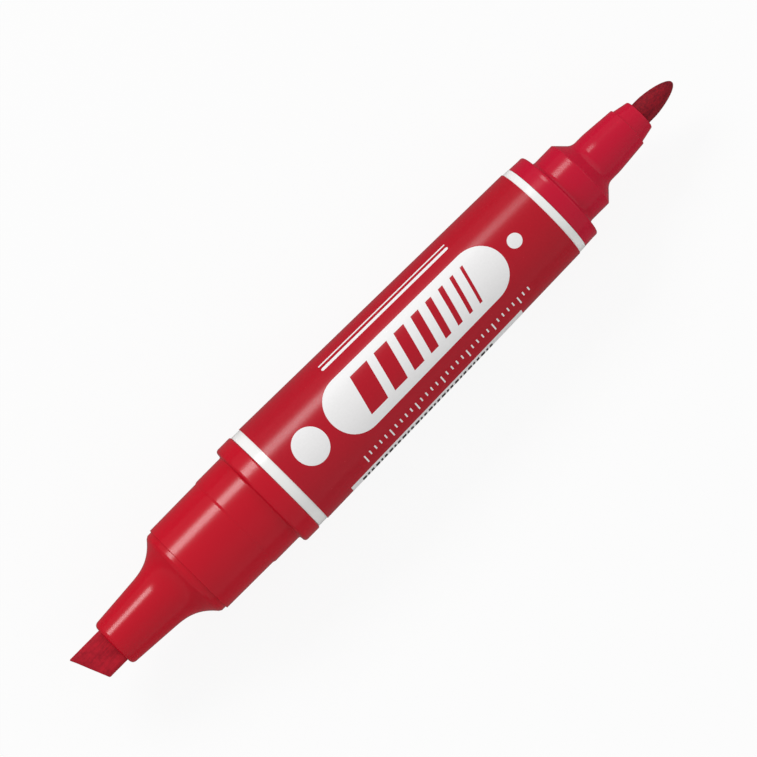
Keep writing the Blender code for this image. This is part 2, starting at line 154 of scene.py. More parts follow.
def colour(name, description, code):
    """A colour that a user can change, written as an sRGB hex value."""
    return FloatVectorProperty(
        name=name, description=description, default=linear(code), min=0.0, max=1.0, subtype="COLOR"
    )


class BarrelSettings(bpy.types.PropertyGroup):
    """Tapered tube and the finish of its bare end bands"""

    taper: mm("Taper", "Loss of radius from the broad end to the fine end", 1.045)
    wall: mm("Wall", "Thickness of the tube", 1.05)
    rim: mm("Rim", "Rounding of both end edges", 0.06)
    white: colour("White", "Dyed polypropylene", "#F3F3F1")


class LabelSettings(bpy.types.PropertyGroup):
    """Printed film and the plain shapes printed on it"""

    film: mm("Film", "Thickness of the film", 0.07)
    gap: mm("Gap", "Glue under the film", 0.04)
    seam: mm("Seam", "Bare strip where the film's edges meet, underneath", 0.8)
    ink: mm("Ink", "Thickness of a printed shape", 0.012)
    panel_start: mm("Panel start", "From the film's broad edge to the panel", 9.2)
    panel_length: mm("Panel length", "Along the pen", 32.6)
    panel_width: mm("Panel width", "Round the pen", 8.6)
    stroke_count: IntProperty(name="Strokes", description="Left open in the panel", default=8, min=2)
    stroke_broad: mm("Broad stroke", "Width of the stroke nearest the broad end", 3.2)
    stroke_fine: mm("Fine stroke", "Width of the stroke nearest the fine end", 0.5)
    stroke_gap: mm("Stroke gap", "Between strokes", 1.35)
    stroke_margin: mm("Stroke margin", "From the strokes' ends to the panel's long edges", 1.5)
    stroke_lean: mm("Stroke lean", "Lean of a stroke's upper end towards the fine end", 1.5)
    dot_broad: mm("Broad dot", "Diameter of the dot near the broad end", 5.2)
    dot_fine: mm("Fine dot", "Diameter of the dot near the fine end", 2.2)
    dot_gap: mm("Dot gap", "Between the panel and each dot", 1.5)
    rule_offset: mm("Rule offset", "From the panel's middle round to the rules", 6.4)
    rule_width: mm("Rule width", "Width of the wider rule", 0.55)
    tick_offset: mm("Tick offset", "From the panel's middle round to the ticks", 6.5)
    tick_spacing: mm("Tick spacing", "Between ticks", 1.0)
    tick_width: mm("Tick width", "Width of a tick", 0.22)
    tick_length: mm("Tick length", "Length of a short tick", 0.8)
    strip_start: mm("Strip start", "From the film's broad edge to the barred strip", 5.1)
    strip_length: mm("Strip length", "Along the pen", 33.6)
    strip_offset: mm("Strip offset", "From the panel's middle round to the strip", 9.6)
    strip_width: mm("Strip width", "Round the pen", 8.4)
    red: colour("Red", "Printed ground", "#B40E23")
    white: colour("White", "Screen ink", "#F1F0F0")
    dark: colour("Dark", "Screen ink of the bars", "#2A1416")


class BroadMouthpieceSettings(bpy.types.PropertyGroup):
    """Mouthpiece that holds the broad nib, from its collar out to its mouth"""

    seat_gap: mm("Seat gap", "Between a collar and the barrel's end face", 0.03)
    collar_length: mm("Collar", "Length of the collar", 2.85)
    collar_front_edge: mm("Collar front edge", "Rounding towards the nib", 0.7)
    collar_back_edge: mm("Collar back edge", "Rounding towards the barrel", 0.25)
    shoulder: mm("Shoulder", "Step from the collar down to the rear land", 1.035)
    shoulder_fillet: mm("Shoulder fillet", "Rounding at the foot of the shoulder", 0.3)
    rear_land: mm("Rear land", "Length of the land that seals the cap", 4.7)
    ring_ramp: mm("Ring ramp", "Length of the ramp between the two lands", 0.4)
    ring_drop: mm("Ring drop", "Step between the two lands", 0.13)
    front_land: mm("Front land", "Length of the land that guides the cap", 8.8)
    front_draft: mm("Front draft", "Loss of radius along the front land", 0.07)
    ledge_step: mm("Ledge step", "Step down to the ledge", 0.25)
    ledge_ramp: mm("Ledge ramp", "Length of the ramp down to the ledge", 0.06)
    ledge: mm("Ledge", "Length of the ledge with its ramp", 0.75)
    ledge_edge: mm("Ledge edge", "Chamfer that ends the ledge", 0.25)
    ledge_edge_length: mm("Ledge edge length", "Length of that chamfer", 0.4)
    flare: mm("Flare", "Length of the flare", 6.0)
    nozzle_taper: mm("Nozzle taper", "Loss of radius along the nozzle", 0.53)
    mouth_wall: mm("Mouth wall", "Plastic outside the nib's corners", 0.54)
    mouth_edge: mm("Mouth edge", "Rounding of the mouth", 0.7)
    cavity: mm("Cavity", "Radius of the bore that takes the reservoir", 5.905)
    cavity_depth: mm("Cavity depth", "From the barrel's end face to the reservoir's stop", 13.28)
    stop: mm("Stop", "Width of the reservoir's stop", 0.9)
    slot_corner: mm("Slot corner", "Rounding of the slot's corners, which leaves air passages", 0.4)
    red: colour("Red", "Dyed polypropylene", "#C10521")


class FineMouthpieceSettings(bpy.types.PropertyGroup):
    """Mouthpiece that holds the fine nib, from its collar out to its mouth"""

    seat_gap: mm("Seat gap", "Between a collar and the barrel's end face", 0.03)
    collar_length: mm("Collar", "Length of the collar", 2.53)
    collar_draft: mm("Collar draft", "Loss of radius along the collar", 0.08)
    collar_lip: mm("Collar lip", "Straight stretch before the collar's front edge", 0.8)
    collar_edge: mm("Collar edge", "Rounding towards the nib", 0.34)
    shoulder: mm("Shoulder", "Step from the collar down to the land", 1.80)
    shoulder_fillet: mm("Shoulder fillet", "Rounding at the foot of the shoulder", 0.75)
    land: mm("Land", "Length of the land that seals the cap", 3.95)
    land_spread: mm("Land spread", "Gain of radius along the land", 0.03)
    land_edge: mm("Land edge", "Rounding between the land and the chamfer", 0.2)
    chamfer: mm("Chamfer", "Length of the chamfer", 1.95)
    chamfer_fillet: mm("Chamfer fillet", "Rounding at the foot of the chamfer", 1.7)
    nozzle_root: mm("Nozzle root", "Straight stretch before the nozzle tapers", 2.2)
    nozzle_bend: mm("Nozzle bend", "Rounding where the taper starts", 12.0)
    nozzle: mm("Nozzle", "Length of the nozzle with its root", 7.3)
    nozzle_taper: mm("Nozzle taper", "Loss of radius along the nozzle", 0.42)
    front_step: mm("Front step", "Step down to the front of the nozzle", 0.27)
    front_taper: mm("Front taper", "Loss of radius along the front", 0.515)
    mouth_wall: mm("Mouth wall", "Plastic round the nib", 0.61)
    mouth_edge: mm("Mouth edge", "Rounding of the mouth", 0.28)
    wall: mm("Wall", "Plastic round the cavity under the land", 1.1)
    grip: mm("Grip", "Bore that holds the nib, from the mouth", 9.5)
    red: colour("Red", "Dyed polypropylene", "#C1052E")


class NibSettings(bpy.types.PropertyGroup):
    """Fibre nibs and the ink core behind them"""

    clearance: mm("Clearance", "Round a nib in its mouthpiece", 0.05)
    broad_corner: mm("Broad corner", "Rounding of the broad nib's long edges", 0.7)
    broad_edge: mm("Broad edge", "Rounding of the writing edge", 0.16)
    broad_slant: mm("Broad slant", "How much further the far corner reaches", 2.25)
    fine_tip: mm("Fine tip", "Length of the fine nib's pointed end", 5.0)
    fine_fullness: number("Fine fullness", "How full the pointed end is", 1.45)
    fuzz: mm("Fuzz", "Height of the fibres' unevenness", 0.012)
    broad_light: colour("Broad light", "Inked fibre", "#BC1B2D")
    broad_dark: colour("Broad dark", "Ink between the fibres", "#981123")
    fine_light: colour("Fine light", "Inked fibre, pressed denser", "#9C1423")
    fine_dark: colour("Fine dark", "Ink between the fibres", "#640C1B")
    core_light: colour("Core light", "Ink-soaked core", "#A81226")
    core_dark: colour("Core dark", "Ink between the fibres", "#6E0A18")
    sheath: colour("Sheath", "Film round the core", "#DCD4D2")


class StageSettings(bpy.types.PropertyGroup):
    """Camera, lamps, floor and backdrop"""

    distance: mm("Distance", "From the camera to the middle of the pen", 684.9)
    lens: number("Lens", "Focal length in millimetres", 237.8, min=1.0, unit="CAMERA")
    lean: tilt("Lean", "Camera's lean towards the broad end", 2.6)
    roll: tilt("Roll", "Pen's slope in the picture", 45.22)
    aim_along: mm("Aim along", "Point that the camera aims at, along the pen", -0.19)
    aim_across: mm("Aim across", "Point that the camera aims at, across the pen", -0.066)
    key_angle: tilt("Key angle", "Softbox's lean from overhead", 50.3)
    key_power: number("Key power", "Softbox's power", 5.3, unit="POWER")
    key_length: mm("Key length", "Softbox along the pen", 500)
    key_width: mm("Key width", "Softbox across the pen", 290)
    key_shift: mm("Key shift", "Softbox's middle along the pen", -108)
    fill_angle: tilt("Fill angle", "Side panel's lean from overhead", 60)
    fill_power: number("Fill power", "Side panel's power", 1.9, unit="POWER")
    fill_size: mm("Fill size", "Edge of the side panel and the end panel", 1500)
    end_angle: tilt("End angle", "End panel's height over the floor", 16)
    end_power: number("End power", "End panel's power", 2.2, unit="POWER")
    dome: proportion("Dome", "Light from all round, as a share of plain white", 0.49)
    paper: colour("Paper", "Floor", "#F2F2F2")
    seen: proportion("Seen", "Share of plain white in the floor's look", 0.9)
    mirrored: proportion("Mirrored", "Floor in reflections, as a share of plain white", 0.16)


def node(tree, kind, inputs=None, **settings):
    """Adds a node with its settings and links.

    An input is a value, a socket that feeds it, or a node whose first output in use does.
    """
    made = tree.nodes.new(kind)
    for name, value in settings.items():
        setattr(made, name, value)
    for name, value in (inputs or {}).items():
        if isinstance(value, bpy.types.Node):
            value = next(output for output in value.outputs if output.enabled)
        if isinstance(value, bpy.types.NodeSocket):
            tree.links.new(value, made.inputs[name])
        else:
            made.inputs[name].default_value = value
    return made


def material(name, layout, *looks):
    """A new material whose layout adds its nodes, with coordinates in metres to lay patterns by."""
    made = bpy.data.materials.new(name)
    made.use_nodes = True
    tree = made.node_tree
    tree.nodes.clear()
    place = node(tree, "ShaderNodeTexCoord").outputs["Object"]
    node(tree, "ShaderNodeOutputMaterial", {"Surface": layout(tree, place, *looks)})
    return made


def shade(base, factor):
    """A colour made darker or lighter, as a node takes it."""
    return (*(min(1.0, channel * factor) for channel in base), 1.0)


def along_pen(size, stretch):
    """Mapping scale for a pattern of one size across the pen that is stretched along it."""
    return (1 / (size * stretch), 1 / size, 1 / size)


def moulded_polypropylene(tree, place, dye):
    """Injection-moulded polypropylene.

    Dyed right through, it shows an even colour with faint flow clouds, and a satin shine from the
    polished mould whose grain only softens the edges of a reflection.
    """
    clouds = along_pen(5 * MM, stretch=2.0)
    grit = 0.25 * MM
    stretched = node(tree, "ShaderNodeMapping", {"Vector": place, "Scale": clouds})
    flow = node(tree, "ShaderNodeTexNoise", {"Vector": stretched, "Scale": 1.0, "Detail": 2.0})
    grain = node(tree, "ShaderNodeTexNoise", {"Vector": place, "Scale": 1 / grit, "Detail": 3.0})
    tones = {"Factor": flow, "A": shade(dye, 0.95), "B": shade(dye, 1.05)}
    tone = node(tree, "ShaderNodeMix", tones, data_type="RGBA")
    polish = node(tree, "ShaderNodeMapRange", {"Value": grain, "To Min": 0.17, "To Max": 0.25})
    relief = node(tree, "ShaderNodeBump", {"Height": grain, "Strength": 0.03, "Distance": 0.02 * MM})
    finish = {"Base Color": tone, "Roughness": polish, "Normal": relief}
    return node(tree, "ShaderNodeBsdfPrincipled", {**finish, "IOR": 1.49, "Specular IOR Level": 0.32})


def printed_film(tree, place, dye):
    """Gravure-printed polypropylene film.

    A flat solid colour with the fine mottle of a printed ground, under a satin varnish that
    spreads a highlight a little wider than the bare mouldings do.
    """
    cell = 0.35 * MM
    ripples = along_pen(7 * MM, stretch=3.0)
    mottle = node(tree, "ShaderNodeTexNoise", {"Vector": place, "Scale": 1 / cell, "Detail": 3.0})
    stretched = node(tree, "ShaderNodeMapping", {"Vector": place, "Scale": ripples})
    waves = node(tree, "ShaderNodeTexNoise", {"Vector": stretched, "Scale": 1.0, "Detail": 2.0})
    tones = {"Factor": mottle, "A": shade(dye, 0.93), "B": shade(dye, 1.06)}
    tone = node(tree, "ShaderNodeMix", tones, data_type="RGBA")
    varnish = node(tree, "ShaderNodeMapRange", {"Value": mottle, "To Min": 0.2, "To Max": 0.3})
    relief = node(tree, "ShaderNodeBump", {"Height": waves, "Strength": 0.1, "Distance": 0.05 * MM})
    finish = {"Base Color": tone, "Roughness": varnish, "Normal": relief}
    return node(tree, "ShaderNodeBsdfPrincipled", {**finish, "IOR": 1.5, "Specular IOR Level": 0.28})


def screen_ink(tree, place, dye):
    """Screen-printed ink.

    Opaque and a touch duller than the film that it lies on, with a trace of the mesh's mottle.
    """
    thread = 0.3 * MM
    mottle = node(tree, "ShaderNodeTexNoise", {"Vector": place, "Scale": 1 / thread, "Detail": 3.0})
    tones = {"Factor": mottle, "A": shade(dye, 0.95), "B": shade(dye, 1.03)}
    tone = node(tree, "ShaderNodeMix", tones, data_type="RGBA")
    sheen = node(tree, "ShaderNodeMapRange", {"Value": mottle, "To Min": 0.32, "To Max": 0.46})
    finish = {"Base Color": tone, "Roughness": sheen, "IOR": 1.5, "Specular IOR Level": 0.25}
    return node(tree, "ShaderNodeBsdfPrincipled", finish)


def inked_fibre(tree, place, light, dark, fibre, depth):
    """Pressed or bundled polyester fibre full of ink.

    Fibres run along the pen, so the sides show fine streaks and a cut end shows dots; the wet gaps
    between them are darker, and the whole is dull with a faint moist glint. Real fibres are a few
    hundredths of a millimetre thick, so they are drawn coarser here to show.
    """
    thin = along_pen(fibre, stretch=14.0)
    wide = along_pen(9 * fibre, stretch=2.0)
    tuft = 2.5 * fibre
    run = node(tree, "ShaderNodeMapping", {"Vector": place, "Scale": thin})
    streaks = node(tree, "ShaderNodeTexNoise", {"Vector": run, "Scale": 1.0, "Detail": 4.0})
    spread = node(tree, "ShaderNodeMapping", {"Vector": place, "Scale": wide})
    pools = node(tree, "ShaderNodeTexNoise", {"Vector": spread, "Scale": 1.0, "Detail": 2.0})
    tufts = node(tree, "ShaderNodeTexNoise", {"Vector": place, "Scale": 1 / tuft, "Detail": 2.0})
    ink = node(tree, "ShaderNodeMath", {0: streaks, 1: pools}, operation="ADD")
    wet = node(tree, "ShaderNodeMath", {0: ink, 1: tufts}, operation="ADD")
    share = node(tree, "ShaderNodeMapRange", {"Value": wet, "From Min": 1.15, "From Max": 1.85})
    tones = {"Factor": share, "A": shade(dark, 1.0), "B": shade(light, 1.0)}
    tone = node(tree, "ShaderNodeMix", tones, data_type="RGBA")
    damp = node(tree, "ShaderNodeMapRange", {"Value": streaks, "To Min": 0.5, "To Max": 0.95})
    relief = node(tree, "ShaderNodeBump", {"Height": streaks, "Strength": 0.5, "Distance": depth})
    finish = {"Base Color": tone, "Roughness": damp, "Normal": relief}
    return node(tree, "ShaderNodeBsdfPrincipled", {**finish, "IOR": 1.45, "Specular IOR Level": 0.2})


def sheath_film(tree, place, tint):
    """Thin extruded film.

    Milky and glossy, with drawing lines along its length.
    """
    streaks = along_pen(0.4 * MM, stretch=40.0)
    drawn = node(tree, "ShaderNodeMapping", {"Vector": place, "Scale": streaks})
    lines = node(tree, "ShaderNodeTexNoise", {"Vector": drawn, "Scale": 1.0, "Detail": 2.0})
    tones = {"Factor": lines, "A": shade(tint, 0.9), "B": shade(tint, 1.0)}
    tone = node(tree, "ShaderNodeMix", tones, data_type="RGBA")
    gloss = node(tree, "ShaderNodeMapRange", {"Value": lines, "To Min": 0.14, "To Max": 0.28})
    return node(tree, "ShaderNodeBsdfPrincipled", {"Base Color": tone, "Roughness": gloss, "IOR": 1.5})


def studio_paper(tree, place, tint, seen, mirrored):
    """Matt paper sweep.

    It looks white to the camera and through clear things and keeps part of the soft shadow that it
    really receives; reflections show it dimmer, as they show the rest of the studio.
    """
    fibre = 1.5 * MM
    pulp = node(tree, "ShaderNodeTexNoise", {"Vector": place, "Scale": 1 / fibre, "Detail": 3.0})
    tones = {"Factor": pulp, "A": shade(tint, 0.98), "B": shade(tint, 1.0)}
    tone = node(tree, "ShaderNodeMix", tones, data_type="RGBA")
    matt = node(tree, "ShaderNodeBsdfDiffuse", {"Color": tone, "Roughness": 1.0})
    path = node(tree, "ShaderNodeLightPath").outputs
    straight = {0: path["Is Camera Ray"], 1: path["Is Transmission Ray"]}
    direct = node(tree, "ShaderNodeMath", straight, operation="MAXIMUM")
    share = node(tree, "ShaderNodeMath", {0: direct, 1: seen}, operation="MULTIPLY")
    white = node(tree, "ShaderNodeEmission", {"Color": WHITE, "Strength": 1.0})
    dim = node(tree, "ShaderNodeEmission", {"Color": WHITE, "Strength": mirrored})
    lit = node(tree, "ShaderNodeMixShader", {0: share, 1: matt, 2: white})
    return node(tree, "ShaderNodeMixShader", {0: path["Is Glossy Ray"], 1: lit, 2: dim})


def placed(name, data):
    """A new object in the scene, of a mesh, a lamp or a camera."""
    made = bpy.data.objects.new(name, data)
    bpy.context.scene.collection.objects.link(made)
    return made


def add_piece(name, mesh, finish, body, slot, *replaced):
    """Adds a mesh with its material to the pen, on its body."""
    mesh.materials.append(finish)
    mesh.shade_smooth()
    mesh.set_sharp_from_angle(angle=SHARP_EDGE)
    piece = placed(name, mesh)
    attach(piece, body)
    if replaced:
        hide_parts(*replaced)


def rounded(corners):
    """An outline of heights and radii whose corners, each with its own rounding, become arcs."""
    points = []
    for i, (height, radius, rounding) in enumerate(corners):
        corner = Vector((height, radius))
        if rounding == 0.0 or i in (0, len(corners) - 1):
            points.append(corner)
            continue
        back = Vector(corners[i - 1][:2]) - corner
        ahead = Vector(corners[i + 1][:2]) - corner
        half = back.angle(ahead) / 2
        room = ROUNDED_SHARE * min(back.length, ahead.length)
        reach = min(rounding / math.tan(half), room)
        inward = (back.normalized() + ahead.normalized()).normalized()
        centre = corner + inward * (reach / math.cos(half))
        first = corner + back.normalized() * reach - centre
        last = corner + ahead.normalized() * reach - centre
        sweep = first.angle_signed(last)
        for k in range(ARC_POINTS + 1):
            turn = Matrix.Rotation(-sweep * k / ARC_POINTS, 2)
            points.append(centre + turn @ first)
    return guarded(points)


def guarded(points):
    """An outline with a guard point near both ends of each long stretch."""
    result = points[:1]
    for start, end in zip(points, points[1:]):
        stretch = end - start
        if stretch.length > GUARDED_LENGTH:
            guard = stretch.normalized() * GUARD
            result += [start + guard, end - guard]
        result.append(end)
    return result


def finished(name, shape):
    """The mesh of a shape that needs no more work."""
    mesh = bpy.data.meshes.new(name)
    shape.to_mesh(mesh)
    shape.free()
    return mesh


def turned(name, outline, closed=False):
    """Mesh of an outline of heights and radii turned about the pen's axis."""
    shape = bmesh.new()
    corners = []
    for height, radius in outline:
        corners.append(shape.verts.new((START + height, 0.0, AXIS_HEIGHT + radius)))
    pairs = list(zip(corners, corners[1:]))
    if closed:
        pairs.append((corners[-1], corners[0]))
    edges = [shape.edges.new(pair) for pair in pairs]
    bmesh.ops.spin(
        shape,
        geom=corners + edges,
        cent=(0.0, 0.0, AXIS_HEIGHT),
        axis=(1.0, 0.0, 0.0),
        angle=2 * math.pi,
        steps=ROUND,
    )
    bmesh.ops.remove_doubles(shape, verts=shape.verts[:], dist=TURNED_WELD)
    bmesh.ops.recalc_face_normals(shape, faces=shape.faces[:])
    return finished(name, shape)


def cut(mesh, cutter):
    """The mesh with another one cut out of it."""
    whole, tool = (placed(part.name, part) for part in (mesh, cutter))
    step = whole.modifiers.new("cut", "BOOLEAN")
    step.operation = "DIFFERENCE"
    step.solver = "EXACT"
    step.object = tool
    evaluated = whole.evaluated_get(bpy.context.evaluated_depsgraph_get())
    result = bpy.data.meshes.new_from_object(evaluated)
    for made in (whole, tool):
        bpy.data.objects.remove(made)
    return result


def fibre_bar(name, low, high, width, thickness, corner, slant=0.0, end_edge=0.0):
    """Mesh of a bar along the pen with rounded long edges, and a slanted, softened end if asked for."""
    shape = bmesh.new()
    bmesh.ops.create_cube(shape, size=1.0)
    for vertex in shape.verts:
        vertex.co.x = START + (high if vertex.co.x > 0 else low)
        vertex.co.y *= width
        vertex.co.z = AXIS_HEIGHT + vertex.co.z * thickness
    middle = START + (low + high) / 2

    def runs_along(edge):
        """Whether an edge runs from one end of the bar to the other."""
        return (edge.verts[0].co.x - middle) * (edge.verts[1].co.x - middle) < 0

    bmesh.ops.bevel(
        shape,
        geom=[edge for edge in shape.edges if runs_along(edge)],
        offset=corner,
        segments=ARC_POINTS,
        profile=0.5,
        affect="EDGES",
        clamp_overlap=True,
    )
    for vertex in shape.verts:
        if vertex.co.x < middle:
            vertex.co.x += slant * (0.5 - vertex.co.y / width)
    if end_edge:
        rims = [edge for edge in shape.edges if not runs_along(edge)]
        bmesh.ops.bevel(shape, geom=rims, offset=end_edge, segments=3, profile=0.5, affect="EDGES")
    return finished(name, shape)


def slit(shape, point, direction, weld=0.0):
    """Cuts a shape's faces where a plane crosses them."""
    bmesh.ops.bisect_plane(
        shape,
        geom=shape.verts[:] + shape.edges[:] + shape.faces[:],
        dist=weld,
        plane_co=point,
        plane_no=direction,
    )


def slice_along(mesh, low, high, step):
    """Cuts a mesh's faces across the pen at every step, so that it can be shaped."""
    shape = bmesh.new()
    shape.from_mesh(mesh)
    for i in range(int((high - low) / step) + 1):
        slit(shape, (START + low + i * step, 0.0, 0.0), (1.0, 0.0, 0.0))
    shape.to_mesh(mesh)
    shape.free()


def roughen(mesh, height, size):
    """Moves a mesh's points in and out by a smooth noise of that height and blot size."""
    for vertex in mesh.vertices:
        vertex.co += vertex.normal * height * noise.noise(vertex.co / size)


def barrel_radius(height):
    """Outside of the barrel at a height."""
    taper = bpy.context.scene.marker_barrel.taper
    return BARREL_RADIUS - taper * height / BARREL_LENGTH


def wrapped(name, loops, lift, thickness):
    """Mesh of a film cut to closed loops of points along and round the pen, bent round the barrel."""
    shape = bmesh.new()
    for loop in loops:
        corners = [shape.verts.new((along, around, 0.0)) for along, around in loop]
        for i, corner in enumerate(corners):
            shape.edges.new((corners[i - 1], corner))
    bmesh.ops.remove_doubles(shape, verts=shape.verts[:], dist=PRINT_WELD)
    bmesh.ops.triangle_fill(shape, use_beauty=True, edges=shape.edges[:], normal=(0.0, 0.0, 1.0))
    arounds = [around for loop in loops for _, around in loop]
    first = math.ceil(min(arounds) / PRINT_FACET)
    last = math.floor(max(arounds) / PRINT_FACET)
    for i in range(first, last + 1):
        slit(shape, (0.0, i * PRINT_FACET, 0.0), (0.0, 1.0, 0.0), PRINT_WELD)
    top = bmesh.ops.extrude_face_region(shape, geom=shape.faces[:], use_keep_orig=True)["geom"]
    for item in top:
        if isinstance(item, bmesh.types.BMVert):
            item.co.z = thickness
    middle = barrel_radius((LABEL_START + LABEL_END) / 2)
    for vertex in shape.verts:
        height = LABEL_START + vertex.co.x
        angle = vertex.co.y / middle
        radius = barrel_radius(height) + lift + vertex.co.z
        vertex.co = (START + height, radius * math.sin(angle), AXIS_HEIGHT + radius * math.cos(angle))
    bmesh.ops.recalc_face_normals(shape, faces=shape.faces[:])
    return finished(name, shape)


def on_circle(along, around, radius, angle):
    """Point of a circle along and round the pen."""
    return along + radius * math.cos(angle), around + radius * math.sin(angle)


def block(start, end, low, high, rounding=0.0):
    """Loop of a rectangle along and round the pen, with rounded corners if asked for."""
    if rounding == 0.0:
        return [(start, low), (end, low), (end, high), (start, high)]
    near = start + rounding
    far = end - rounding
    bottom = low + rounding
    top = high - rounding
    loop = []
    for quarter, centre in enumerate(((far, top), (near, top), (near, bottom), (far, bottom))):
        for k in range(CORNER_POINTS + 1):
            angle = math.pi / 2 * (quarter + k / CORNER_POINTS)
            loop.append(on_circle(*centre, rounding, angle))
    return loop


def disc(along, around, diameter):
    """Loop of a disc."""
    angles = [2 * math.pi * k / DISC_POINTS for k in range(DISC_POINTS)]
    return [on_circle(along, around, diameter / 2, angle) for angle in angles]


class MARKER_OT_barrel(bpy.types.Operator):
    """Make the white tapered barrel"""

    bl_idname = "marker.barrel"
    bl_label = "Barrel"

    def execute(self, context):
        sizes = context.scene.marker_barrel
        far = barrel_radius(BARREL_LENGTH)
        middle = (BARREL_LENGTH / 2, barrel_radius(BARREL_LENGTH / 2), 0.0)
        corners = [
            middle,
            (0.0, BARREL_RADIUS, sizes.rim),
            (0.0, BARREL_RADIUS - sizes.wall, sizes.rim),
            (BARREL_LENGTH, far - sizes.wall, sizes.rim),
            (BARREL_LENGTH, far, sizes.rim),
            middle,
        ]
        mesh = turned("barrel_tube", rounded(corners))
        white = material("white_polypropylene", moulded_polypropylene, sizes.white)
        add_piece("barrel_tube", mesh, white, "pen_body", "white_plastic", "barrel")
        return {"FINISHED"}


class MARKER_OT_label(bpy.types.Operator):
    """Wrap the printed film round the barrel"""

    bl_idname = "marker.label"
    bl_label = "Label film"

    def execute(self, context):
        sizes = context.scene.marker_label
        reach = math.pi * barrel_radius((LABEL_START + LABEL_END) / 2) - sizes.seam / 2
        loop = block(0.0, LABEL_END - LABEL_START, -reach, reach)
        mesh = wrapped("label_film", [loop], sizes.gap, sizes.film)
        film = material("printed_red_film", printed_film, sizes.red)
        add_piece("label_film", mesh, film, "pen_body", "label_film", "label")
        return {"FINISHED"}


class MARKER_OT_prints(bpy.types.Operator):
    """Print plain shapes on the label: a panel with strokes, dots, rules, ticks and a barred strip"""

    bl_idname = "marker.prints"
    bl_label = "Label prints"

    def execute(self, context):
        sizes = context.scene.marker_label
        white = material("white_screen_ink", screen_ink, sizes.white)
        dark = material("dark_screen_ink", screen_ink, sizes.dark)
        lift = sizes.gap + sizes.film
        for name, loops in (
            ("print_panel", self.panel(sizes)),
            ("print_dots", self.dots(sizes)),
            ("print_rules", self.rules(sizes)),
            ("print_ticks", self.ticks(sizes)),
            ("print_strip", self.strip(sizes)),
        ):
            add_piece(name, wrapped(name, loops, lift, sizes.ink), white, "pen_body", "label_film")
        bars = wrapped("print_bars", self.bars(sizes), lift + sizes.ink, sizes.ink)
        add_piece("print_bars", bars, dark, "pen_body", "label_film")
        return {"FINISHED"}

    def panel(self, sizes):
        """A long panel with round ends, and leaning strokes left open that thin to the fine end."""
        start = sizes.panel_start
        end = start + sizes.panel_length
        half = sizes.panel_width / 2
        loops = [block(start, end, -half, half, half)]
        ratio = (sizes.stroke_fine / sizes.stroke_broad) ** (1 / (sizes.stroke_count - 1))
        widths = [sizes.stroke_broad * ratio**i for i in range(sizes.stroke_count)]
        at = (start + end - sum(widths) - sizes.stroke_gap * (sizes.stroke_count - 1)) / 2
        reach = half - sizes.stroke_margin
        for width in widths:
            low = at - sizes.stroke_lean / 2
            high = at + sizes.stroke_lean / 2
            loops.append([(low, -reach), (low + width, -reach), (high + width, reach), (high, reach)])
            at += width + sizes.stroke_gap
        return loops

    def dots(self, sizes):
        """A big dot towards the broad end and a small one towards the fine end."""
        near = sizes.panel_start - sizes.dot_gap - sizes.dot_broad / 2
        far = sizes.panel_start + sizes.panel_length + sizes.dot_gap + sizes.dot_fine / 2
        return [disc(near, 0.0, sizes.dot_broad), disc(far, 0.0, sizes.dot_fine)]

    def rules(self, sizes):
        """A wide and a narrow rule beside the panel."""
        start = sizes.panel_start + sizes.panel_width / 2
        end = sizes.panel_start + sizes.panel_length - sizes.panel_width / 2
        low = sizes.rule_offset
        wide = sizes.rule_width
        narrow = wide / 2
        beyond = low + 2 * wide
        return [
            block(start, end, low, low + wide, wide / 2),
            block(start, end, beyond, beyond + narrow, narrow / 2),
        ]

    def ticks(self, sizes):
        """A row of ticks on the panel's other side, with every fifth one twice as long."""
        high = -sizes.tick_offset
        loops = []
        for i in range(int(sizes.panel_length / sizes.tick_spacing) + 1):
            start = sizes.panel_start + i * sizes.tick_spacing
            reach = sizes.tick_length * (2 if i % 5 == 0 else 1)
            loops.append(block(start, start + sizes.tick_width, high - reach, high))
        return loops

    def strip(self, sizes):
        """A plain white strip low on the side."""
        end = sizes.strip_start + sizes.strip_length
        high = -sizes.strip_offset
        return [block(sizes.strip_start, end, high - sizes.strip_width, high)]

    def bars(self, sizes):
        """Even groups of three bars on the strip."""
        margin = 0.06 * sizes.strip_length
        filled = 0.8 * sizes.strip_length
        inset = 0.1 * sizes.strip_width
        group = 2.6 * MM
        starts_and_widths = ((0.0, 0.7 * MM), (1.0 * MM, 0.35 * MM), (1.7 * MM, 0.5 * MM))
        high = -sizes.strip_offset - inset
        low = -sizes.strip_offset - sizes.strip_width + inset
        loops = []
        for i in range(int(filled / group)):
            for along, width in starts_and_widths:
                start = sizes.strip_start + margin + i * group + along
                loops.append(block(start, start + width, low, high))
        return loops


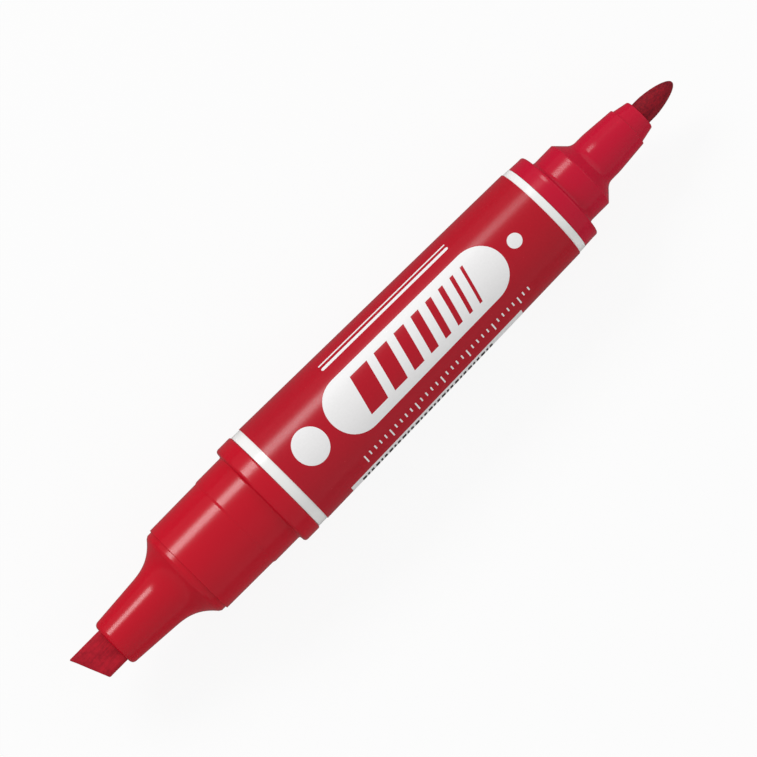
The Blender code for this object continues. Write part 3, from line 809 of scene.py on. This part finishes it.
class MARKER_OT_broad_mouthpiece(bpy.types.Operator):
    """Make the mouthpiece that holds the broad nib"""

    bl_idname = "marker.broad_mouthpiece"
    bl_label = "Broad mouthpiece"

    def execute(self, context):
        sizes = context.scene.marker_broad
        nibs = context.scene.marker_nibs
        floor, outline = self.outline(sizes, nibs, context.scene.marker_barrel)
        solid = turned("broad_mouthpiece", outline)
        low = BROAD_MOUTH - SLOT_OVERRUN
        high = floor + SLOT_OVERRUN
        width = BROAD_NIB_SIZE.y + 2 * nibs.clearance
        thickness = BROAD_NIB_SIZE.z + 2 * nibs.clearance
        slot = fibre_bar("slot", low, high, width, thickness, sizes.slot_corner)
        red = material("red_polypropylene_broad", moulded_polypropylene, sizes.red)
        add_piece("broad_mouthpiece", cut(solid, slot), red, "pen_body", "red_plastic", "broad_holder")
        return {"FINISHED"}

    def outline(self, sizes, nibs, barrel):
        """The cavity's floor, and points from there over the plug, collar and lands to the mouth."""
        seat = -sizes.seat_gap
        shoulder = seat - sizes.collar_length
        ring = shoulder - sizes.rear_land
        front = ring - sizes.ring_ramp
        front_end = front - sizes.front_land
        ledge_end = front_end - sizes.ledge
        floor = ledge_end - sizes.ledge_edge_length
        rear_radius = COLLAR_RADIUS - sizes.shoulder
        front_radius = rear_radius - sizes.ring_drop
        front_end_radius = front_radius - sizes.front_draft
        ledge_radius = front_end_radius - sizes.ledge_step
        plug = BARREL_RADIUS - barrel.wall - nibs.clearance
        plug_end = plug - barrel.taper * BROAD_PLUG_END / BARREL_LENGTH
        corner_reach = nibs.broad_corner + math.hypot(
            BROAD_NIB_SIZE.y / 2 - nibs.broad_corner, BROAD_NIB_SIZE.z / 2 - nibs.broad_corner
        )
        mouth_radius = corner_reach + nibs.clearance + sizes.mouth_wall
        corners = [
            (floor, 0.0, 0.0),
            (floor, corner_reach, 0.0),
            (-sizes.cavity_depth, sizes.cavity - sizes.stop, 0.0),
            (-sizes.cavity_depth, sizes.cavity, 0.0),
            (BROAD_PLUG_END, sizes.cavity, 0.0),
            (BROAD_PLUG_END, plug - PLUG_EDGE, PLUG_EDGE),
            (BROAD_PLUG_END - PLUG_EDGE, plug_end, PLUG_EDGE),
            (seat, plug, 0.0),
            (seat, COLLAR_RADIUS, sizes.collar_back_edge),
            (shoulder, COLLAR_RADIUS, sizes.collar_front_edge),
            (shoulder, rear_radius, sizes.shoulder_fillet),
            (ring, rear_radius, RING_EDGE),
            (front, front_radius, RING_EDGE),
            (front_end, front_end_radius, LEDGE_STEP_EDGE),
            (front_end - sizes.ledge_ramp, ledge_radius, LEDGE_STEP_EDGE),
            (ledge_end, ledge_radius, LEDGE_END_EDGE),
            (floor, ledge_radius - sizes.ledge_edge, 0.0),
        ]
        nozzle = self.flare(sizes, floor, ledge_radius - sizes.ledge_edge, mouth_radius)
        mouth = [
            (*nozzle[-1], 0.0),
            (BROAD_MOUTH, mouth_radius, sizes.mouth_edge),
            (BROAD_MOUTH, 0.0, 0.0),
        ]
        return floor, rounded(corners) + nozzle[1:] + rounded(mouth)[1:]

    def flare(self, sizes, top, top_radius, mouth_radius):
        """Points down the flare, which leaves the nozzle's taper as the cube of the distance."""
        foot = top - sizes.flare
        slope = sizes.nozzle_taper / (foot - BROAD_MOUTH)
        foot_radius = mouth_radius + sizes.nozzle_taper
        rise = top_radius - foot_radius - slope * sizes.flare
        points = []
        for i in range(FLARE_POINTS, -1, -1):
            share = i / FLARE_POINTS
            radius = foot_radius + slope * sizes.flare * share + rise * share**3
            points.append((foot + sizes.flare * share, radius))
        return points


class MARKER_OT_fine_mouthpiece(bpy.types.Operator):
    """Make the mouthpiece that holds the fine nib"""

    bl_idname = "marker.fine_mouthpiece"
    bl_label = "Fine mouthpiece"

    def execute(self, context):
        sizes = context.scene.marker_fine
        outline = self.outline(sizes, context.scene.marker_nibs, context.scene.marker_barrel)
        mesh = turned("fine_mouthpiece", outline, closed=True)
        red = material("red_polypropylene_fine", moulded_polypropylene, sizes.red)
        add_piece("fine_mouthpiece", mesh, red, "pen_body", "red_plastic", "fine_holder")
        return {"FINISHED"}

    def outline(self, sizes, nibs, barrel):
        """From the bore out over the nozzle, land, collar and plug, and back through the cavity."""
        seat = BARREL_LENGTH + sizes.seat_gap
        shoulder = seat + sizes.collar_length
        land_end = shoulder + sizes.land
        root = land_end + sizes.chamfer
        step = root + sizes.nozzle
        bore = FINE_NIB_RADIUS + nibs.clearance
        mouth_radius = bore + sizes.mouth_wall
        front_root = mouth_radius + sizes.front_taper
        nozzle_tip = front_root + sizes.front_step
        nozzle_root = nozzle_tip + sizes.nozzle_taper
        collar = FINE_COLLAR_RADIUS - sizes.collar_draft
        land = collar - sizes.shoulder
        plug = BARREL_RADIUS - barrel.taper - barrel.wall - nibs.clearance
        corners = [
            (FINE_MOUTH - sizes.grip, bore, 0.0),
            (FINE_MOUTH, bore, BORE_EDGE),
            (FINE_MOUTH, mouth_radius, sizes.mouth_edge),
            (step, front_root, FRONT_STEP_FOOT),
            (step, nozzle_tip, FRONT_STEP_EDGE),
            (root + sizes.nozzle_root, nozzle_root, sizes.nozzle_bend),
            (root, nozzle_root, sizes.chamfer_fillet),
            (land_end, land + sizes.land_spread, sizes.land_edge),
            (shoulder, land, sizes.shoulder_fillet),
            (shoulder, collar, sizes.collar_edge),
            (shoulder - sizes.collar_lip, collar, 0.0),
            (seat, FINE_COLLAR_RADIUS, FINE_COLLAR_BACK_EDGE),
            (seat, plug, 0.0),
            (FINE_PLUG_END + PLUG_EDGE, plug, PLUG_EDGE),
            (FINE_PLUG_END, plug - PLUG_EDGE, PLUG_EDGE),
            (FINE_PLUG_END, land - sizes.wall, 0.0),
            (land_end - sizes.wall, land - sizes.wall, 0.0),
        ]
        return rounded(corners)


class MARKER_OT_broad_nib(bpy.types.Operator):
    """Make the chisel nib of pressed fibre"""

    bl_idname = "marker.broad_nib"
    bl_label = "Broad nib"

    def execute(self, context):
        sizes = context.scene.marker_nibs
        _, width, thickness = BROAD_NIB_SIZE
        edges = (sizes.broad_corner, sizes.broad_slant, sizes.broad_edge)
        mesh = fibre_bar("chisel_nib", BROAD_TIP, BROAD_TAIL, width, thickness, *edges)
        slice_along(mesh, BROAD_TIP, BROAD_TAIL, FELT_SLICE)
        roughen(mesh, sizes.fuzz, FUZZ_BLOT)
        looks = (sizes.broad_light, sizes.broad_dark, *BROAD_FIBRE)
        felt = material("pressed_felt_broad", inked_fibre, *looks)
        add_piece("chisel_nib", mesh, felt, "broad_nib", "broad_felt", "broad_nib")
        return {"FINISHED"}


class MARKER_OT_fine_nib(bpy.types.Operator):
    """Make the bullet nib of pressed fibre"""

    bl_idname = "marker.fine_nib"
    bl_label = "Fine nib"

    def execute(self, context):
        sizes = context.scene.marker_nibs
        outline = []
        for i in range(TIP_POINTS + 1):
            share = 1 - (i / TIP_POINTS) ** 2
            radius = FINE_NIB_RADIUS * math.sqrt(1 - share**sizes.fine_fullness)
            outline.append((FINE_TIP - sizes.fine_tip * (1 - share), radius))
        outline.append((FINE_TAIL + FINE_TAIL_EDGE, FINE_NIB_RADIUS))
        outline.append((FINE_TAIL, FINE_NIB_RADIUS - FINE_TAIL_EDGE))
        outline.append((FINE_TAIL, 0.0))
        mesh = turned("bullet_nib", outline)
        looks = (sizes.fine_light, sizes.fine_dark, *FINE_FIBRE)
        felt = material("pressed_felt_fine", inked_fibre, *looks)
        add_piece("bullet_nib", mesh, felt, "fine_nib", "fine_felt", "fine_nib")
        return {"FINISHED"}


class MARKER_OT_ink_core(bpy.types.Operator):
    """Finish the ink core and its sheath, which stay as the frame gives them"""

    bl_idname = "marker.ink_core"
    bl_label = "Ink core"

    def execute(self, context):
        sizes = context.scene.marker_nibs
        looks = (sizes.core_light, sizes.core_dark, *CORE_FIBRE)
        core = material("soaked_fibre_core", inked_fibre, *looks)
        sheath = material("core_sheath_film", sheath_film, sizes.sheath)
        for name, finish in (("ink_reservoir", core), ("reservoir_wrap", sheath)):
            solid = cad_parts[name].data
            solid.materials.clear()
            solid.materials.append(finish)
        return {"FINISHED"}


class MARKER_OT_stage(bpy.types.Operator):
    """Set up the camera, the lamps, the floor and the backdrop"""

    bl_idname = "marker.stage"
    bl_label = "Stage"

    def execute(self, context):
        sizes = context.scene.marker_stage
        self.camera(context.scene, sizes)
        key = Vector((sizes.key_shift, math.sin(sizes.key_angle), math.cos(sizes.key_angle)))
        fill = Vector((0.0, -math.sin(sizes.fill_angle), math.cos(sizes.fill_angle)))
        end = Vector((math.cos(sizes.end_angle), 0.0, math.sin(sizes.end_angle)))
        edge = sizes.fill_size
        self.lamp("softbox", key, sizes.key_power, sizes.key_length, sizes.key_width)
        self.lamp("side_panel", fill, sizes.fill_power, edge, edge, mirrored=False)
        self.lamp("end_panel", end, sizes.end_power, edge, edge)
        self.floor(sizes)
        self.backdrop(context.scene, sizes)
        context.scene.view_settings.view_transform = "Standard"
        return {"FINISHED"}

    def camera(self, scene, sizes):
        """A long lens above the pen, leaning towards the broad end and rolled to the pen's slope."""
        back = Vector((-math.sin(sizes.lean), 0.0, math.cos(sizes.lean)))
        along = Vector((math.cos(sizes.lean), 0.0, math.sin(sizes.lean)))
        across = Vector((0.0, 1.0, 0.0))
        right = along * math.cos(sizes.roll) - across * math.sin(sizes.roll)
        up = along * math.sin(sizes.roll) + across * math.cos(sizes.roll)
        view = bpy.data.cameras.new("view")
        view.lens = sizes.lens
        view.sensor_width = 36.0
        made = placed("view", view)
        axes = Matrix((right, up, back)).transposed().to_4x4()
        aim = Vector((sizes.aim_along, sizes.aim_across, AXIS_HEIGHT))
        made.matrix_world = Matrix.Translation(aim + back * sizes.distance) @ axes
        scene.camera = made

    def lamp(self, name, direction, power, along, across, mirrored=True):
        """A rectangular lamp that faces the pen from about a metre; one not mirrored only fills."""
        light = bpy.data.lights.new(name, "AREA")
        light.shape = "RECTANGLE"
        light.size = along
        light.size_y = across
        light.energy = power
        made = placed(name, light)
        made.location = direction
        made.rotation_mode = "QUATERNION"
        made.rotation_quaternion = (-direction).to_track_quat("-Z", "Y")
        made.visible_camera = False
        made.visible_glossy = mirrored

    def floor(self, sizes):
        """A round sheet of paper, sloped by the barrel's taper so that the pen lies on it."""
        label = bpy.context.scene.marker_label
        far_radius = barrel_radius(LABEL_END) + label.gap + label.film
        slope = math.atan2(COLLAR_RADIUS - far_radius, LABEL_END)
        shape = bmesh.new()
        bmesh.ops.create_circle(shape, cap_ends=True, segments=96, radius=0.8)
        mesh = finished("paper", shape)
        paper = material("studio_paper", studio_paper, sizes.paper, sizes.seen, sizes.mirrored)
        mesh.materials.append(paper)
        made = placed("paper", mesh)
        made.location = (START, 0.0, AXIS_HEIGHT - COLLAR_RADIUS)
        made.rotation_euler.y = -slope

    def backdrop(self, scene, sizes):
        """Soft light from all round, which the camera sees as white."""
        world = bpy.data.worlds.new("studio")
        world.use_nodes = True
        tree = world.node_tree
        tree.nodes.clear()
        path = node(tree, "ShaderNodeLightPath").outputs
        straight = {0: path["Is Camera Ray"], 1: path["Is Transmission Ray"]}
        direct = node(tree, "ShaderNodeMath", straight, operation="MAXIMUM")
        level = node(tree, "ShaderNodeMapRange", {"Value": direct, "To Min": sizes.dome, "To Max": 1.0})
        sky = node(tree, "ShaderNodeBackground", {"Color": WHITE, "Strength": level})
        node(tree, "ShaderNodeOutputWorld", {"Surface": sky})
        scene.world = world


class MARKER_PT_pieces(bpy.types.Panel):
    """Lists the marker's pieces and their sizes"""

    bl_idname = "MARKER_PT_pieces"
    bl_label = "Double-Ended Marker"
    bl_space_type = "VIEW_3D"
    bl_region_type = "UI"
    bl_category = "Marker"

    def draw(self, context):
        for maker in OPERATORS:
            self.layout.operator(maker.bl_idname)
        for key in SETTINGS:
            group = getattr(context.scene, key)
            box = self.layout.box()
            box.label(text=group.bl_rna.description)
            for name in group.__annotations__:
                box.prop(group, name)


SETTINGS = {
    "marker_barrel": BarrelSettings,
    "marker_label": LabelSettings,
    "marker_broad": BroadMouthpieceSettings,
    "marker_fine": FineMouthpieceSettings,
    "marker_nibs": NibSettings,
    "marker_stage": StageSettings,
}
OPERATORS = (
    MARKER_OT_barrel,
    MARKER_OT_label,
    MARKER_OT_prints,
    MARKER_OT_broad_mouthpiece,
    MARKER_OT_fine_mouthpiece,
    MARKER_OT_broad_nib,
    MARKER_OT_fine_nib,
    MARKER_OT_ink_core,
    MARKER_OT_stage,
)


def register():
    """Registers the settings, the operators and the panel."""
    for key, group in SETTINGS.items():
        bpy.utils.register_class(group)
        setattr(bpy.types.Scene, key, PointerProperty(type=group))
    for maker in (*OPERATORS, MARKER_PT_pieces):
        bpy.utils.register_class(maker)


def unregister():
    """Removes what register added."""
    for maker in reversed((*OPERATORS, MARKER_PT_pieces)):
        bpy.utils.unregister_class(maker)
    for key, group in reversed(SETTINGS.items()):
        delattr(bpy.types.Scene, key)
        bpy.utils.unregister_class(group)


def main():
    """Builds every piece and the stage."""
    register()
    bpy.ops.marker.barrel()
    bpy.ops.marker.label()
    bpy.ops.marker.prints()
    bpy.ops.marker.broad_mouthpiece()
    bpy.ops.marker.fine_mouthpiece()
    bpy.ops.marker.broad_nib()
    bpy.ops.marker.fine_nib()
    bpy.ops.marker.ink_core()
    bpy.ops.marker.stage()


if __name__ == "__main__":
    main()
